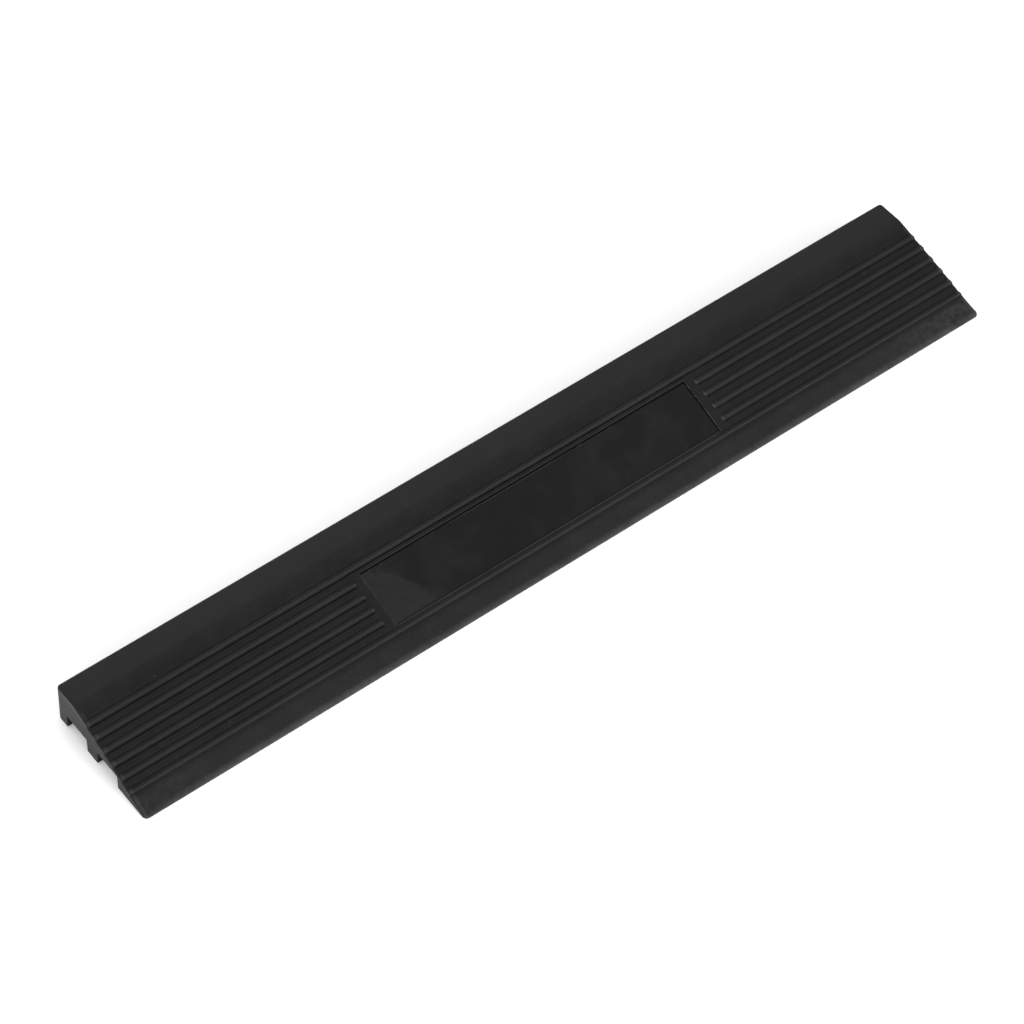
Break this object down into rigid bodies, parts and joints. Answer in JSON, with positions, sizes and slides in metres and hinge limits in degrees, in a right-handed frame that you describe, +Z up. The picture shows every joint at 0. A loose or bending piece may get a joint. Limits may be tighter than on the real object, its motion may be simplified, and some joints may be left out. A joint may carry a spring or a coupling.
{
  "type": "cable protector ramp",
  "caption": "Low black moulded rubber ramp with stepped tread ribs, a blank inlaid plate and cable channels underneath.",
  "frame": {"origin": "on the floor under the middle of the footprint", "axes": "+X along the ramp, +Y towards the tall back wall, +Z up"},
  "size_m": [0.4, 0.061, 0.018],
  "materials": {
    "body_rubber": "matt moulded black rubber with fine grain and light scuffs",
    "plate_rubber": "smoother black rubber with faint cloudy patches"
  },
  "bodies": {
    "root": {"ramp_body": "body_rubber", "inlay_plate": "plate_rubber"}
  },
  "joints": []
}
